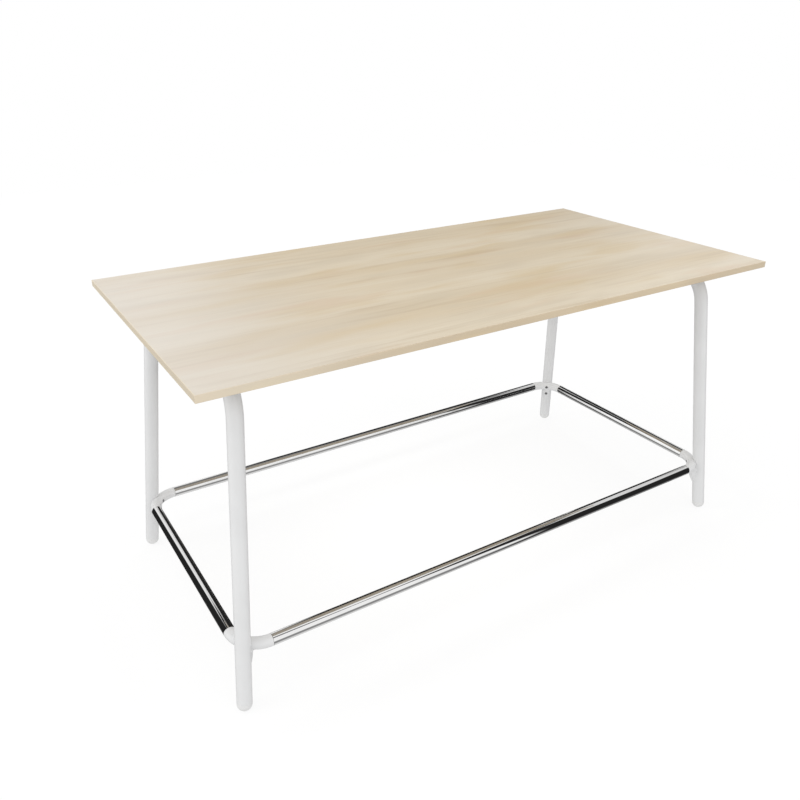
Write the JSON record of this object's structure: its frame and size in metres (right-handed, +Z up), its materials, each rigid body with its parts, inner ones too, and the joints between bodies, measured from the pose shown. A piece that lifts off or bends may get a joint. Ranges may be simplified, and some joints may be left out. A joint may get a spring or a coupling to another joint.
{
  "type": "standing meeting table",
  "caption": "Long counter-height table: pale wood laminate top on white bent-tube end frames that splay outwards, with a chrome foot rail all round on cast corner connectors.",
  "frame": {"origin": "on the floor, under the middle of the table top", "axes": "+X along the length of the table, +Y across it to the back, +Z up"},
  "size_m": [1.8, 0.9, 0.904],
  "materials": {
    "laminate": "satin",
    "edge_band": "satin",
    "chipboard": "matte",
    "white_paint": "satin",
    "white_casting": "satin",
    "white_plastic": "satin",
    "chrome_tube": "polished",
    "dark_steel": "satin",
    "zinc_steel": "satin"
  },
  "bodies": {
    "root": {"backing_laminate": "laminate", "connector_screw_lower_back_left": "dark_steel", "connector_screw_lower_back_right": "dark_steel", "connector_screw_lower_front_left": "dark_steel", "connector_screw_lower_front_right": "dark_steel", "connector_screw_upper_back_left": "dark_steel", "connector_screw_upper_back_right": "dark_steel", "connector_screw_upper_front_left": "dark_steel", "connector_screw_upper_front_right": "dark_steel", "core_board": "chipboard", "corner_connector_back_left": "white_casting", "corner_connector_back_right": "white_casting", "corner_connector_front_left": "white_casting", "corner_connector_front_right": "white_casting", "edge_band_back": "edge_band", "edge_band_front": "edge_band", "edge_band_left": "edge_band", "edge_band_right": "edge_band", "end_frame_left": "white_paint", "end_frame_right": "white_paint", "foot_back_left": "white_plastic", "foot_back_right": "white_plastic", "foot_front_left": "white_plastic", "foot_front_right": "white_plastic", "foot_rail_back": "chrome_tube", "foot_rail_front": "chrome_tube", "foot_rail_left": "chrome_tube", "foot_rail_right": "chrome_tube", "mounting_plate_back_left": "white_paint", "mounting_plate_back_right": "white_paint", "mounting_plate_front_left": "white_paint", "mounting_plate_front_right": "white_paint", "rivet_nut_lower_back_left": "zinc_steel", "rivet_nut_lower_back_right": "zinc_steel", "rivet_nut_lower_front_left": "zinc_steel", "rivet_nut_lower_front_right": "zinc_steel", "rivet_nut_upper_back_left": "zinc_steel", "rivet_nut_upper_back_right": "zinc_steel", "rivet_nut_upper_front_left": "zinc_steel", "rivet_nut_upper_front_right": "zinc_steel", "stretcher_back": "white_paint", "stretcher_bolt_back_left": "zinc_steel", "stretcher_bolt_back_right": "zinc_steel", "stretcher_bolt_front_left": "zinc_steel", "stretcher_bolt_front_right": "zinc_steel", "stretcher_front": "white_paint", "stretcher_stub_back_left": "white_paint", "stretcher_stub_back_right": "white_paint", "stretcher_stub_front_left": "white_paint", "stretcher_stub_front_right": "white_paint", "top_laminate": "laminate", "wood_screw_inner_back_left": "zinc_steel", "wood_screw_inner_back_right": "zinc_steel", "wood_screw_inner_front_left": "zinc_steel", "wood_screw_inner_front_right": "zinc_steel", "wood_screw_outer_back_left": "zinc_steel", "wood_screw_outer_back_right": "zinc_steel", "wood_screw_outer_front_left": "zinc_steel", "wood_screw_outer_front_right": "zinc_steel"}
  },
  "joints": []
}
